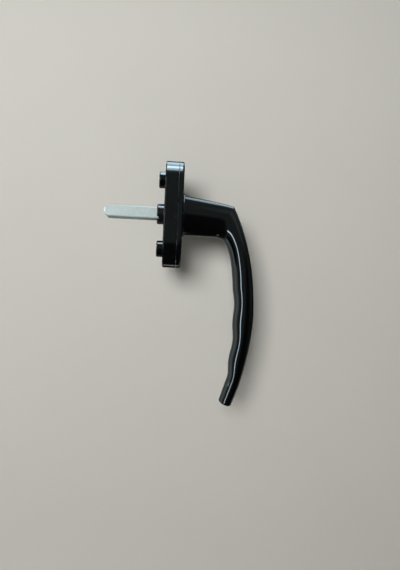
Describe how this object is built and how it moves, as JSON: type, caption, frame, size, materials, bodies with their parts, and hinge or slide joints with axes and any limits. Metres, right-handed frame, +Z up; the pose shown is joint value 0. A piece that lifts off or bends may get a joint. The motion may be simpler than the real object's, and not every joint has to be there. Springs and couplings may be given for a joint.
{
  "type": "tilt turn handle",
  "caption": "Cranked window handle with finger ridges on an oblong two-lug rosette, with a turning cover and a square spindle.",
  "frame": {"origin": "centre of the rosette's mounting face, on the spindle's axis", "axes": "+X out of the sash into the room along the spindle's axis, +Z up along the rosette, the grip hangs towards -Z in the closed position"},
  "size_m": [0.0933, 0.03, 0.1472],
  "materials": {
    "rosette_black": "gloss black moulding",
    "collar_black": "satin black moulding",
    "lever_black": "gloss black paint on an aluminium casting",
    "zinc": "bright zinc plating",
    "spring_steel": "rolled spring steel",
    "cam_steel": "sintered steel",
    "acetal": "natural acetal"
  },
  "bodies": {
    "rosette": {"base_body": "rosette_black", "centring_collar": "collar_black", "bearing_bush": "acetal", "thrust_washer": "spring_steel", "spring_carrier": "acetal", "detent_spring_left": "spring_steel", "detent_spring_right": "spring_steel", "cover_snap_ring": "spring_steel"},
    "cover": {"cover_plate": "rosette_black"},
    "lever": {"lever": "lever_black", "neck_ring": "collar_black", "spindle": "zinc", "spindle_pin": "spring_steel", "detent_cam": "cam_steel", "retaining_washer": "zinc", "disc_spring": "spring_steel", "retaining_ring": "spring_steel"}
  },
  "joints": [
    {"name": "lever_turn", "type": "hinge", "parent": "rosette", "child": "lever", "pos_m": [0, 0, 0], "axis": [1, 0, 0], "range_deg": [0, 180], "deforming": ["detent_spring_left", "detent_spring_right"]},
    {"name": "cover_turn", "type": "hinge", "parent": "rosette", "child": "cover", "pos_m": [0, 0, 0], "axis": [1, 0, 0], "range_deg": [-90, 90]}
  ]
}
